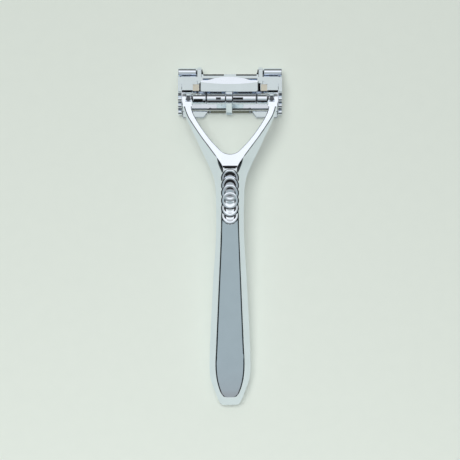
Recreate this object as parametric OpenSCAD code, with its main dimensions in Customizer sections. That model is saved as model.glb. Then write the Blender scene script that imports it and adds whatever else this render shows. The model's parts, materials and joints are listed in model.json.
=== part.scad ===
// Safety razor with a pivoting three-blade head on a one-piece yoke handle.
// X runs across the head, +Y points from the butt to the head, +Z is the back of the razor.
// The razor lies on its shaving face and on the butt of its handle, both at z = 0.

/* [Blades] */
// Length of a blade, end tab to end tab
blade_len = 43; // [42:0.5:43]
// Width of a blade from its cutting edge to its snapped edge
blade_w = 11; // [10.6:0.1:11]
// Thickness of a blade
blade_t = 0.1; // [0.08:0.01:0.12]
// Distance between two cutting edges along the shaving face
blade_pitch = 2.8; // [2.75:0.05:2.85]
// Angle between a blade and the shaving face
blade_angle = 40; // [39:0.5:41]

/* [Head] */
// Full width of the head
head_w = 44.6; // [44.6:0.2:46]
// Height of the head's pivot above the shaving face
pivot_z = 11; // [11:0.1:11.5]
// Radius of the axle that the head turns on
axle_r = 1; // [0.9:0.05:1.05]
// Radius of the barrel round the axle
barrel_r = 2.35; // [2.3:0.05:2.5]
// Radius of the cap's hinge barrels
knuckle_r = 1.85; // [1.8:0.05:1.85]
// Radius of the cap's hinge pins
pin_r = 0.7; // [0.6:0.05:0.8]

/* [Handle] */
// Largest width of the handle, near its butt
handle_w = 17.6; // [16.6:0.2:18.6]
// Width of the handle at the grip
neck_w = 12; // [11.4:0.2:12.6]
// Height of the bevels along the handle
bevel_h = 3.3; // [2.8:0.1:3.4]
// Number of raised rings in the grip
ring_count = 6; // [3:1:6]
// Distance between two rings
ring_pitch = 3.17; // [2.9:0.01:3.17]

/* [Fits] */
// Running clearance on the radius of each turning pair
running = 0.05; // [0.03:0.01:0.08]
// Gap left between parts that move past each other
gap = 0.3; // [0.25:0.05:0.35]

/* [Hidden] */
$fn = 48;

// Places along the razor, from the middle of its length
butt_y = -72.65;
pivot_y = 58.9;
hinge_y = pivot_y + 11.7;
hinge_z = 5.2;
edge_z = 0.1;
function edge_y(k) = pivot_y - 4.1 + blade_pitch * (k - 1);

// Head sizes
half_w = head_w / 2;
cheek_in = half_w - 1.5;
groove_x = blade_len / 2 + 0.1;
edge_half = 18.65;
tab_s = 4.5;
seat_t = 0.85;
plate_z = 7.7;
plate_t = 0.9;
block_z = 9.4;
block_in = 15.9;
block_y = [61.9, 68.4];
ear_x = [12.2, 14.1];
ear_r = 2;
rail_x = [edge_half + gap, cheek_in - 0.2];
rail_z = 1.9;
guard_y = [51.2, 54.2];
guard_z = 2.2;
catch_half = 9.6;

// The barrel, the latch hub between its two halves, and the bosses on the arms
barrel_left = [-9.9, -2];
barrel_right = [1.2, 11.1];
latch_x = [-1.8, 1];
boss_left = [-16.3, -10.3];
boss_right = [11.6, 16.3];
boss_r = 2.25;
pocket_r = 1.85;

// Arms and their tips
opening_y = 35.1;
crotch_r = 6;
tip_x = [16.3, 20.4];
tip_r = 2.6;
screw_x = 17.8;
axle_half = 19.8;

// Half width of the silhouette at places along the handle and the arms
outer_line = [
    [butt_y, 3.4], [-70.9, 4.8], [-65.5, 6.9], [-60.6, 8.4], [-55, handle_w / 2], [-18.6, 7.16],
    [0.2, neck_w / 2], [15.6, neck_w / 2], [24.6, 6.8], [31, 9.35], [42.8, 15], [53.3, 19.6], [58.9, 20.4]
];
// Half width of the flat face on the back of the handle
face_line = [
    [butt_y, 2.6], [-68.7, 2.6], [-64.2, 4.7], [-59, 5.8], [-53.8, 5.96], [-18.6, 4.37], [0.6, 3.64],
    [15, 3.3], [26, 3], [30.1, 3.3], [36.9, 8.06], [48, 15.9], [55.5, 19.4], [58.9, 19.9]
];
// Half width of the opening between the arms, above its rounded end
opening_line = [
    [opening_y, 2], [37.1, 4.47], [41, 8.1], [46.2, 12], [51.1, 15], [54.6, 16.35], [58.9, 16.3]
];
// Height of the middle of the handle and the arms
height_line = [
    [butt_y, 3.65], [-30, 8.35], [18, 13.5], [27, 14.2], [34, 13.85], [46, 12.5], [58.9, pivot_z]
];
// Thickness of the handle and the arms
thick_line = [
    [butt_y, 3.6], [-68.7, 8.1], [-64, 8.6], [-50, 9], [0, 8.4], [28, 8], [36, 7.3], [46, 6.2],
    [53, 5.4], [58.9, 5.2]
];

// Smooth curve through a list of [place, value] pairs
function slope(line, i) =
    let (a = max(i - 1, 0), b = min(i + 1, len(line) - 1))
    (line[b][1] - line[a][1]) / (line[b][0] - line[a][0]);
function span_of(line, y, i = 0) =
    (i >= len(line) - 2 || y < line[i + 1][0]) ? i : span_of(line, y, i + 1);
function curve(line, y) =
    let (i = span_of(line, y), h = line[i + 1][0] - line[i][0], t = (y - line[i][0]) / h)
    line[i][1] * (2 * t ^ 3 - 3 * t ^ 2 + 1) + slope(line, i) * h * (t ^ 3 - 2 * t ^ 2 + t)
    + line[i + 1][1] * (3 * t ^ 2 - 2 * t ^ 3) + slope(line, i + 1) * h * (t ^ 3 - t ^ 2);

// Half width of the opening: a round end, then the line of the arms
function opening(y) =
    y <= opening_y ? 0
    : y < 37.1 ? sqrt(2 * crotch_r * (y - opening_y) - (y - opening_y) ^ 2)
    : curve(opening_line, y);

// Right half of the section at y, as points from the top inner edge round to the bottom one
function half_section(y) =
    let (
        o = curve(outer_line, y), e = min(curve(face_line, y), o - 0.3), i = opening(y),
        z = curve(height_line, y), t = curve(thick_line, y),
        b = min(bevel_h, 1.2 * (o - e), (y > 30 ? 0.45 : 0.38) * t), under = min(b, 0.38 * t)
    )
    [
        [i, y, z + t / 2], [e, y, z + t / 2], [o, y, z + t / 2 - b],
        [o, y, z - t / 2 + under], [e, y, z - t / 2], [i, y, z - t / 2]
    ];

// Places of the sections, closer together where the outline turns
stations = concat(
    [butt_y, -71.9, -70.9, -68.7, -66.5, -64, -61.5, -59, -56, -53, -46],
    [for (y = [-36 : 12 : 24]) y],
    [28, 31, 33.5, opening_y, 35.3, 35.7, 36.3],
    [for (y = [37.1 : 2.18 : 58.9]) y]
);
last = len(stations) - 1;
split = search(opening_y, stations)[0];

module both_sides() {
    children();
    mirror([1, 0, 0]) children();
}

// Extrudes a section drawn in Y and Z from x0 to x1
module across(x0, x1) {
    translate([x0, 0, 0]) rotate([90, 0, 90]) linear_extrude(x1 - x0) children();
}

module rod(x0, x1, y, z, r) {
    translate([x0, y, z]) rotate([0, 90, 0]) cylinder(h = x1 - x0, r = r);
}

// Places a section on blade k: first coordinate up the blade, second away from the skin
module on_blade(k) {
    translate([edge_y(k), edge_z]) rotate(blade_angle) children();
}

// ---- Handle ----

// One closed skin: both halves share the points on the middle plane up to the opening
module yoke_skin() {
    n = 6;
    count = n * (last + 1);
    right = [for (y = stations) each half_section(y)];
    left = [for (p = right) [-p.x, p.y, p.z]];
    function r(i, k) = n * i + k;
    function l(i, k) = (i <= split && (k == 0 || k == n - 1)) ? r(i, k) : count + n * i + k;
    polyhedron(
        points = concat(right, left),
        faces = concat(
            [for (i = [0 : last - 1], k = [0 : n - 2]) each [
                [r(i, k), r(i + 1, k), r(i + 1, k + 1)], [r(i, k), r(i + 1, k + 1), r(i, k + 1)],
                [l(i, k), l(i + 1, k + 1), l(i + 1, k)], [l(i, k), l(i, k + 1), l(i + 1, k + 1)]
            ]],
            [for (i = [split : last - 1]) each [
                [r(i, n - 1), r(i + 1, n - 1), r(i + 1, 0)], [r(i, n - 1), r(i + 1, 0), r(i, 0)],
                [l(i, n - 1), l(i + 1, 0), l(i + 1, n - 1)], [l(i, n - 1), l(i, 0), l(i + 1, 0)]
            ]],
            [concat([for (k = [0 : n - 1]) r(0, k)], [for (k = [n - 2 : -1 : 1]) l(0, k)])],
            [[for (k = [n - 1 : -1 : 0]) r(last, k)], [for (k = [0 : n - 1]) l(last, k)]]
        )
    );
}

ring_r = [1.9, 4.45];
ring_first_y = 9.3;
ring_mid_y = ring_first_y + ring_pitch * (ring_count - 1) / 2;
grip_tilt = 5.4;
grip_depth = 0.9;

// Places the grip on the back of the neck, or under it when side is -1
module on_grip(side) {
    z = curve(height_line, ring_mid_y);
    t = curve(thick_line, ring_mid_y);
    translate([0, ring_mid_y, z]) rotate([grip_tilt, 0, 0]) mirror([0, 0, side < 0 ? 1 : 0])
        translate([0, 0, t / 2]) children();
}

function ring_at(i) = ring_pitch * (i - (ring_count - 1) / 2);

// Sunk bed of the grip
module grip_bed() {
    translate([0, 0, -grip_depth]) linear_extrude(3) for (i = [0 : ring_count - 1])
        translate([0, ring_at(i)]) circle(ring_r[1]);
}

// Overlapping rings that stand in the bed
module grip_rings() {
    translate([0, 0, -grip_depth - 0.4]) linear_extrude(grip_depth + 0.6)
        for (i = [0 : ring_count - 1])
            translate([0, ring_at(i)]) difference() {
                circle(ring_r[1] - 0.35);
                circle(ring_r[0]);
            }
}

module yoke_handle() {
    color("lightsteelblue") difference() {
        union() {
            difference() {
                yoke_skin();
                for (side = [1, -1]) on_grip(side) grip_bed();
            }
            for (side = [1, -1]) on_grip(side) grip_rings();
            both_sides() rod(tip_x[0], tip_x[1], pivot_y, pivot_z, tip_r);
            rod(boss_left[0] - 0.5, boss_left[1], pivot_y, pivot_z, boss_r);
            rod(boss_right[0], boss_right[1] + 0.5, pivot_y, pivot_z, boss_r);
        }
        // Bore for the axle
        rod(-axle_half - 0.1, axle_half + 0.1, pivot_y, pivot_z, axle_r + 0.01);
        // Spring pocket in the long boss, with its slot
        rod(boss_left[0] + 0.2, boss_left[1] + 1, pivot_y, pivot_z, pocket_r);
        translate([boss_left[0] + 1.3, pivot_y - 0.9, pivot_z + 1]) cube([3.2, 0.6, 3]);
        // Recesses and holes for the set screws
        both_sides() {
            translate([screw_x, pivot_y, pivot_z]) cylinder(h = 5, r = axle_r);
            translate([screw_x - 1.3, pivot_y - 1.5, pivot_z + 1.9]) cube([2.6, 2.9, 3]);
            translate([screw_x, pivot_y + 1.3, pivot_z + 1.9]) cylinder(h = 3, r = 1.3);
        }
    }
}

module pivot_axle() {
    color("gray") rod(-axle_half, axle_half, pivot_y, pivot_z, axle_r);
}

module arm_set_screws() {
    color("dimgray") both_sides() translate([screw_x, pivot_y, pivot_z + axle_r])
        difference() {
            cylinder(h = 1.1, r = axle_r - 0.02);
            translate([0, 0, 0.4]) cylinder(h = 1, r = 0.5, $fn = 6);
        }
}

module washer(x0, x1, r) {
    difference() {
        rod(x0, x1, pivot_y, pivot_z, r);
        rod(x0 - 1, x1 + 1, pivot_y, pivot_z, axle_r + 0.02);
    }
}

module thrust_washers() {
    color("dimgray") {
        washer(boss_left[1] + 0.02, barrel_left[0] - 0.08, 2.1);
        washer(barrel_right[1] + 0.08, boss_right[0] - 0.02, 2.1);
    }
}

module spring_anchor() {
    color("gray") washer(boss_left[0] + 0.25, boss_left[0] + 1.05, pocket_r - 0.03);
}

// Coiled part of a torsion spring, as the tube that its turns fill
module coil(x0, x1) {
    difference() {
        rod(x0, x1, pivot_y, pivot_z, 1.7);
        rod(x0 - 1, x1 + 1, pivot_y, pivot_z, 1.3);
    }
}

module head_spring() {
    color("darkgray") coil(boss_left[0] + 1.1, boss_left[1] - 0.3);
}

// ---- Blade tray, which turns on the axle ----

// Louvre that blade k lies on, narrower beside the cap's rails
module seat(k) {
    across(-edge_half, edge_half) on_blade(k) translate([1.4, blade_t])
        square([blade_w - 1.5, seat_t]);
    across(-cheek_in - 0.2, cheek_in + 0.2) on_blade(k) translate([tab_s + 0.1, blade_t])
        square([blade_w - tab_s - 0.2, seat_t]);
}

// Side cheek: a comb whose grooves take the blades' end tabs
module cheek() {
    difference() {
        across(cheek_in, half_w) {
            polygon([
                [52.4, 0.7], [66.6, 0.7], [block_y[1], 2.6], [block_y[1], block_z - 0.3],
                [63.6, block_z - 0.3], [61.4, 7.4], [53.4, 2.6]
            ]);
            for (k = [1 : 3]) translate([edge_y(k) - 1.2, edge_z + 0.65 + 1.85 * k]) circle(1.2);
        }
        for (k = [1 : 3]) across(cheek_in - 1, groove_x) on_blade(k)
            translate([-4, -0.12]) square([blade_w + 4.2, blade_t + 0.17]);
    }
}

// End block with a narrower neck beside the arm tip
module end_block() {
    translate([0, 0, plate_z - 0.3]) linear_extrude(block_z - plate_z + 0.3) difference() {
        polygon([
            [16.3, block_y[0]], [20.6, block_y[0]], [20.6, 65.4], [half_w, 65.4],
            [half_w, block_y[1]], [ear_x[0], block_y[1]], [ear_x[0], 65.4], [16.3, 65.4]
        ]);
        translate([ear_x[1] - 0.9, 64.2]) circle(2.6);
    }
}

// Ear that carries the cap's hinge pin behind the last blade
module ear() {
    across(ear_x[0], ear_x[1]) {
        translate([hinge_y, hinge_z]) circle(ear_r);
        polygon([
            [hinge_y + ear_r, hinge_z], [hinge_y + ear_r, 7.6], [71.6, 8.8], [65.4, 8.8],
            [65.4, plate_z + 0.2], [68.9, plate_z], [68.9, 6.2], [69.6, hinge_z]
        ]);
    }
}

// Web between the barrel and the seats
module web(x0, x1) {
    across(x0, x1) polygon([
        [57.4, 9.6], [60.7, 9.9], [63, plate_z + plate_t], [63.6, plate_z], [60.2, 5.7]
    ]);
}

module tray_plate() {
    translate([0, 0, plate_z]) linear_extrude(plate_t) difference() {
        translate([-block_in - 0.6, 62.2]) square([2 * block_in + 1.2, 7.4]);
        // Rinse windows above the two channels between the blades
        for (x = [-11.6, 1.6], k = [1, 2])
            translate([x, edge_y(k) + 8.7]) square([10, 1.5]);
        // Cleared behind the ears, where the hinge knuckles turn
        both_sides() translate([ear_x[1], block_y[1]]) square([4, 4]);
    }
}

module blade_tray() {
    color("lightsteelblue") difference() {
        union() {
            for (k = [1 : 3]) seat(k);
            tray_plate();
            both_sides() {
                cheek();
                end_block();
                ear();
            }
            for (x = [barrel_left[0], -3.6, 1.4, 9.5]) web(x, x + 1.5);
            rod(barrel_left[0], barrel_left[1], pivot_y, pivot_z, barrel_r);
            rod(barrel_right[0], barrel_right[1], pivot_y, pivot_z, barrel_r);
        }
        rod(-12, 12, pivot_y, pivot_z, axle_r + running);
        // Pocket of the latch spring and the slots that show the axle and the spring
        rod(barrel_right[0] - 1, 6.2, pivot_y, pivot_z, pocket_r);
        for (x = [[-6, 2.1], [1, 4.6]])
            translate([x[0], pivot_y - 0.5, pivot_z + 0.5]) cube([x[1], 1, 3]);
        for (k = [1 : 3], x = [-12, 12]) magnet_shape(k, x, 0.02);
        both_sides() rod(ear_x[0] - 1, ear_x[1] + 1, hinge_y, hinge_z, pin_r);
    }
}

magnet_s = 7.4;
magnet_r = 1.25;
magnet_t = 0.6;

module magnet_shape(k, x, grow) {
    translate([0, edge_y(k), edge_z]) rotate([blade_angle, 0, 0])
        translate([x, magnet_s, blade_t - (grow > 0 ? 0.1 : 0)])
            cylinder(h = magnet_t + grow + (grow > 0 ? 0.1 : 0), r = magnet_r + grow);
}

module seat_magnets() {
    color("gray") for (k = [1 : 3], x = [-12, 12]) magnet_shape(k, x, 0);
}

// Half of a double-edge blade, with half of its locating slot along the snapped edge
module blade(k) {
    color("silver") translate([0, edge_y(k), edge_z]) rotate([blade_angle, 0, 0])
        linear_extrude(blade_t) difference() {
            union() {
                translate([-edge_half, 0]) square([2 * edge_half, tab_s + 1]);
                translate([-blade_len / 2, tab_s]) square([blade_len, blade_w - tab_s]);
            }
            translate([-16.8, blade_w - 0.6]) square([33.6, 2]);
            for (x = [-13.2, 0, 13.2]) translate([x, blade_w]) circle(2.2);
        }
}

// Pin of the cap's hinge, pressed into the ear and free in the knuckle
module hinge_pin(side) {
    color("gray") mirror([side < 0 ? 1 : 0, 0, 0]) rod(ear_x[0] - 0.5, half_w - 0.3, hinge_y, hinge_z, pin_r);
}

module hinge_pin_clips() {
    color("dimgray") both_sides() difference() {
        rod(ear_x[0] - 0.4, ear_x[0], hinge_y, hinge_z, 1.3);
        rod(ear_x[0] - 1, ear_x[0] + 1, hinge_y, hinge_z, pin_r);
    }
}

// ---- Cap, which clamps the blades from the skin side ----

wedge_clear = 0.08;

// Height of the clamping face under blade k at a distance behind its edge
function under_blade(d) = edge_z + d * tan(blade_angle) - (wedge_clear) / cos(blade_angle);

module wedge(k) {
    across(-rail_x[1], rail_x[1]) translate([edge_y(k), 0])
        polygon([[0.45, 0], [0.5, under_blade(0.5)], [1.95, under_blade(1.95)], [2.2, 0.4], [2.2, 0]]);
}

// Broad bar behind the last edge, up to the hinge
module top_bar() {
    across(-rail_x[1], rail_x[1]) translate([edge_y(3), 0]) polygon([
        [0.45, 0], [0.5, under_blade(0.5)], [7.2, under_blade(7.2)], [8.4, 6], [9.2, 4.6], [9.2, 0.6], [8.6, 0]
    ]);
}

module knuckle() {
    rod(ear_x[1] + 0.2, half_w, hinge_y, hinge_z, knuckle_r);
    across(ear_x[1] + 0.2, rail_x[1]) polygon([
        [hinge_y, hinge_z - knuckle_r], [hinge_y, hinge_z], [69.3, hinge_z + 0.6], [68, 4], [69, 1.2]
    ]);
}

module guard() {
    both_sides() {
        translate([0, 0, 0]) linear_extrude(guard_z) polygon([
            [catch_half, 53.3], [11, guard_y[0] + 0.1], [11.4, guard_y[0]], [rail_x[1], guard_y[0]],
            [rail_x[1], guard_y[1]], [catch_half, guard_y[1]]
        ]);
        translate([rail_x[0], guard_y[0] + 0.3, 0])
            cube([rail_x[1] - rail_x[0], edge_y(3) + 1.5 - guard_y[0], rail_z]);
    }
    // Lower half of the middle, which the catch bar lies on
    translate([-catch_half - 0.1, 53.3, 0]) cube([2 * catch_half + 0.2, guard_y[1] - 53.3, 1]);
}

module cap_frame() {
    color("silver") difference() {
        union() {
            for (k = [1, 2]) wedge(k);
            top_bar();
            guard();
            both_sides() knuckle();
        }
        both_sides() {
            // Room for the ears, and the running bore of each knuckle
            rod(ear_x[0] - 0.2, ear_x[1] + 0.2, hinge_y, hinge_z, ear_r + gap);
            rod(ear_x[0] - 0.8, ear_x[1], hinge_y, hinge_z, 1.3 + gap);
            rod(ear_x[1], half_w + 1, hinge_y, hinge_z, pin_r + running);
            translate([8.6, 53.75, 0.3]) cylinder(h = 2, r = 0.35);
        }
    }
}

module catch_bar() {
    color("rosybrown") difference() {
        translate([-catch_half + 0.05, 53.3, 1])
            cube([2 * catch_half - 0.1, guard_y[1] - 53.3, guard_z - 1.1]);
        both_sides() translate([8.6, 53.75, 0]) cylinder(h = 3, r = 0.35);
    }
}

module catch_rivets() {
    color("silver") both_sides() translate([8.6, 53.75, 0.3]) {
        cylinder(h = guard_z - 0.4, r = 0.34);
        translate([0, 0, guard_z - 0.4]) cylinder(h = 0.3, r = 0.42);
    }
}

// ---- Latch, which holds the cap shut ----

bar_x = [-12.7, 12];
bar_z = [10, 11.6];
scoop_r = 27.8;
scoop_y = 68.4;

// Thumb bar seen from above: a straight bar with a shallow bulge behind it
module thumb_outline() {
    translate([bar_x[0], pivot_y + 3]) square([bar_x[1] - bar_x[0], 5]);
    intersection() {
        translate([-0.35, scoop_y - scoop_r]) circle(scoop_r, $fn = 96);
        translate([bar_x[0], 64]) square([bar_x[1] - bar_x[0], 6]);
    }
}

module latch_lever() {
    color("lightsteelblue") difference() {
        union() {
            translate([0, 0, bar_z[0]]) linear_extrude(bar_z[1] - bar_z[0]) thumb_outline();
            rod(latch_x[0], latch_x[1], pivot_y, pivot_z, barrel_r - 0.05);
            // Arm to the bar behind, and the tongue in front that reaches over the catch bar
            across(latch_x[0] + 0.1, latch_x[1] - 0.1) {
                translate([pivot_y, bar_z[0] - 0.4]) square([4.5, 1.6]);
                polygon([
                    [56.8, 11], [58, 9], [54.9, 3.6], [54.9, 2.45], [53.1, 2.45], [53.1, 0.9],
                    [52.5, 0.9], [52.5, 2.9], [53.4, 3.8]
                ]);
            }
        }
        rod(-5, 5, pivot_y, pivot_z, axle_r + running);
    }
}

module latch_spring() {
    color("darkgray") coil(barrel_right[0] + 0.1, 5.9);
}

yoke_handle();
pivot_axle();
arm_set_screws();
thrust_washers();
spring_anchor();
head_spring();
blade_tray();
blade(1);  // blade_1
blade(2);  // blade_2
blade(3);  // blade_3
seat_magnets();
hinge_pin(-1);  // hinge_pin_left
hinge_pin(1);  // hinge_pin_right
hinge_pin_clips();
cap_frame();
catch_bar();
catch_rivets();
latch_lever();
latch_spring();
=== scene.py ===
import json
import math

import bmesh
import bpy
from mathutils import Matrix, Vector

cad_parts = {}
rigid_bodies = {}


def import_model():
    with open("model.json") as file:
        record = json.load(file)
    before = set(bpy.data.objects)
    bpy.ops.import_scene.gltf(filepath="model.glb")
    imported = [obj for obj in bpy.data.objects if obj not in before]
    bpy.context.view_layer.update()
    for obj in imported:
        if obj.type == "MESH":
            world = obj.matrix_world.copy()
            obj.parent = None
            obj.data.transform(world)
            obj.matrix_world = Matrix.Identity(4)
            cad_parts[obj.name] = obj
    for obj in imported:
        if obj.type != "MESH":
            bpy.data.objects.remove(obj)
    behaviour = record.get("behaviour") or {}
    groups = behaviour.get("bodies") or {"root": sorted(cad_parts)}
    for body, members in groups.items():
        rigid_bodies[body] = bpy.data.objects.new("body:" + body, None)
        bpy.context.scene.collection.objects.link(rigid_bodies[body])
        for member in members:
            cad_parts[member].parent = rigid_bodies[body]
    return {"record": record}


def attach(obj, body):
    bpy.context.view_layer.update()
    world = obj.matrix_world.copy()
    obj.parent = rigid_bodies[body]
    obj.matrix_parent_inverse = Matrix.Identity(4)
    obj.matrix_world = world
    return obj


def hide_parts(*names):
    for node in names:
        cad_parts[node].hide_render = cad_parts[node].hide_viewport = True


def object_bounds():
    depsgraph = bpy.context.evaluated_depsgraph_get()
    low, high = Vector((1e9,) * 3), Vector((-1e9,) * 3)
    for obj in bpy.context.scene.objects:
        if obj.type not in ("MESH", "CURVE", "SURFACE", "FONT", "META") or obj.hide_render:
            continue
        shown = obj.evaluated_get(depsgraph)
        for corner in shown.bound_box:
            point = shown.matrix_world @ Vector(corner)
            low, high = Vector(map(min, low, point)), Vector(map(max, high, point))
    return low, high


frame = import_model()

CAD_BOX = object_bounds()
MM = 0.001

# Places that the CAD fixes, in mm: X across the head, Y along the handle, Z up
JOINTS = {row["name"]: row for row in frame["record"]["behaviour"]["joints"]}
PIVOT_Y, PIVOT_Z = [v / MM for v in JOINTS["head_pivot"]["pos_m"][1:]]
HINGE_Y, HINGE_Z = [v / MM for v in JOINTS["cap_hinge"]["pos_m"][1:]]
HALF_W = CAD_BOX[1][0] / MM
BUTT_Y = CAD_BOX[0][1] / MM
ROUND = 96


# ---- Mesh helpers, all in millimetres until a piece is finished ----

def add_object(name, points, faces):
    mesh = bpy.data.meshes.new(name)
    mesh.from_pydata([tuple(p) for p in points], [], faces)
    mesh.validate()
    obj = bpy.data.objects.new(name, mesh)
    bpy.context.scene.collection.objects.link(obj)
    shape = bmesh.new()
    shape.from_mesh(mesh)
    bmesh.ops.remove_doubles(shape, verts=shape.verts, dist=1e-5)
    bmesh.ops.recalc_face_normals(shape, faces=shape.faces)
    shape.to_mesh(mesh)
    shape.free()
    return obj


def stack(rings, closed_ends=True):
    """Joins rings of equal length into one closed skin."""
    n = len(rings[0])
    points = [p for ring in rings for p in ring]
    faces = [
        (n * i + k, n * i + (k + 1) % n, n * (i + 1) + (k + 1) % n, n * (i + 1) + k)
        for i in range(len(rings) - 1) for k in range(n)
    ]
    if closed_ends:
        faces += [tuple(range(n))[::-1], tuple(range(n * (len(rings) - 1), n * len(rings)))]
    return add_object("part", points, faces)


def across(outline, x0, x1):
    """A section drawn in Y and Z, extruded from x0 to x1."""
    return stack([[(x, y, z) for y, z in outline] for x in (x0, x1)])


def upright(outline, z0, z1):
    """A plan drawn in X and Y, extruded from z0 to z1."""
    return stack([[(x, y, z) for x, y in outline] for z in (z0, z1)])


def lathe(profile, y, z, segments=ROUND):
    """A solid of revolution about a line along X, from (x, radius) points."""
    turn = [2 * math.pi * k / segments for k in range(segments)]
    return stack([[(x, y + r * math.cos(a), z + r * math.sin(a)) for a in turn] for x, r in profile])


def rod(x0, x1, y, z, r, segments=ROUND):
    return lathe([(x0, r), (x1, r)], y, z, segments)


def revolve(loop, y, z, segments=ROUND):
    """A ring about a line along X, from a closed loop of (x, radius) points."""
    turn = [2 * math.pi * k / segments for k in range(segments + 1)]
    rings = [[(x, y + r * math.cos(a), z + r * math.sin(a)) for x, r in loop] for a in turn]
    return stack(rings, closed_ends=False)


def turned(profile, x, y, segments=48):
    """A solid of revolution about an upright line, from (radius, z) points."""
    turn = [2 * math.pi * k / segments for k in range(segments)]
    return stack([[(x + r * math.cos(a), y + r * math.sin(a), z) for a in turn] for r, z in profile])


def post(x, y, z0, z1, r, segments=48):
    turn = [2 * math.pi * k / segments for k in range(segments)]
    return upright([(x + r * math.cos(a), y + r * math.sin(a)) for a in turn], z0, z1)


def box(x0, x1, y0, y1, z0, z1):
    return upright([(x0, y0), (x1, y0), (x1, y1), (x0, y1)], z0, z1)


def disc(cx, cy, r, start=0, end=360, steps=32):
    """Points of an arc, from start to end degrees."""
    return [
        (cx + r * math.cos(math.radians(a)), cy + r * math.sin(math.radians(a)))
        for a in (start + (end - start) * k / steps for k in range(steps + 1))
    ]


def faced_out(obj):
    """Turns all faces outwards, which mirroring undoes."""
    shape = bmesh.new()
    shape.from_mesh(obj.data)
    bmesh.ops.recalc_face_normals(shape, faces=shape.faces)
    shape.to_mesh(obj.data)
    shape.free()
    return obj


def mirrored(obj):
    """A copy of a part on the other side of the middle plane."""
    twin = obj.copy()
    twin.data = obj.data.copy()
    bpy.context.scene.collection.objects.link(twin)
    twin.data.transform(Matrix.Scale(-1, 4, (1, 0, 0)))
    return faced_out(twin)


def both(parts):
    return parts + [mirrored(p) for p in parts]


def baked(obj):
    """Applies an object's modifiers to its mesh."""
    graph = bpy.context.evaluated_depsgraph_get()
    graph.update()
    mesh = bpy.data.meshes.new_from_object(obj.evaluated_get(graph))
    old = obj.data
    obj.modifiers.clear()
    obj.data = mesh
    bpy.data.meshes.remove(old)
    return obj


def combine(base, others, operation):
    """Boolean of base with all the others at once, which uses the others up."""
    group = bpy.data.collections.new("cutters")
    bpy.context.scene.collection.children.link(group)
    for other in others:
        bpy.context.scene.collection.objects.unlink(other)
        group.objects.link(other)
    step = base.modifiers.new("combine", "BOOLEAN")
    step.operation = operation
    step.solver = "EXACT"
    step.operand_type = "COLLECTION"
    step.collection = group
    baked(base)
    for other in others:
        mesh = other.data
        bpy.data.objects.remove(other)
        bpy.data.meshes.remove(mesh)
    bpy.data.collections.remove(group)
    return base


def union(parts):
    return combine(parts[0], parts[1:], "UNION") if len(parts) > 1 else parts[0]


def minus(base, cutters):
    return combine(base, cutters, "DIFFERENCE")


def tidy_faces(obj, angle=0.6):
    """Welds and merges coplanar faces, so that edges round off cleanly."""
    shape = bmesh.new()
    shape.from_mesh(obj.data)
    bmesh.ops.remove_doubles(shape, verts=shape.verts, dist=2e-4)
    bmesh.ops.dissolve_limit(
        shape, angle_limit=math.radians(angle), verts=shape.verts, edges=shape.edges,
        use_dissolve_boundaries=False,
    )
    shape.to_mesh(obj.data)
    shape.free()
    return obj


def round_edges(obj, width, angle=28, segments=4, hollow=True):
    """Rounds the edges sharper than angle. With hollow=False the inner corners stay sharp."""
    mesh = obj.data
    shape = bmesh.new()
    shape.from_mesh(mesh)
    layers = shape.edges.layers.float
    weight = layers.get("bevel_weight_edge") or layers.new("bevel_weight_edge")
    for edge in shape.edges:
        sharp = len(edge.link_faces) == 2 and edge.calc_face_angle(0) > math.radians(angle)
        edge[weight] = 1.0 if sharp and (hollow or edge.is_convex) else 0.0
    shape.to_mesh(mesh)
    shape.free()
    step = obj.modifiers.new("round", "BEVEL")
    step.limit_method = "WEIGHT"
    step.width = width
    step.segments = segments
    step.use_clamp_overlap = True
    step.harden_normals = False
    step.miter_outer = "MITER_ARC"
    return baked(obj)


def finish(obj, name, body, slot, nodes=(), smooth=30):
    """Scales a piece to metres, shades it and ties it to its body."""
    obj.name = name
    obj.data.name = name
    obj.data.transform(Matrix.Scale(MM, 4))
    obj.data.shade_smooth()
    obj.data.set_sharp_from_angle(angle=math.radians(smooth))
    step = obj.modifiers.new("flat_faces", "WEIGHTED_NORMAL")
    step.keep_sharp = True
    step.weight = 80
    obj.data.materials.clear()
    obj.data.materials.append(MATERIALS[slot])
    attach(obj, body)
    if nodes:
        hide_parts(*nodes)
    return obj


def slope(line, i):
    a, b = max(i - 1, 0), min(i + 1, len(line) - 1)
    return (line[b][1] - line[a][1]) / (line[b][0] - line[a][0])


def curve(line, at):
    """Smooth curve through (place, value) points."""
    i = 0
    while i < len(line) - 2 and at >= line[i + 1][0]:
        i += 1
    h = line[i + 1][0] - line[i][0]
    t = (at - line[i][0]) / h
    return (
        line[i][1] * (2 * t**3 - 3 * t**2 + 1) + slope(line, i) * h * (t**3 - 2 * t**2 + t)
        + line[i + 1][1] * (3 * t**2 - 2 * t**3) + slope(line, i + 1) * h * (t**3 - t**2)
    )


def spaced(low, high, step):
    count = max(1, round((high - low) / step))
    return [low + (high - low) * k / count for k in range(count + 1)]


# ---- Materials ----

def new_material(name):
    material = bpy.data.materials.new(name)
    material.use_nodes = True
    tree = material.node_tree
    return material, tree, tree.nodes["Principled BSDF"]


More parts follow.
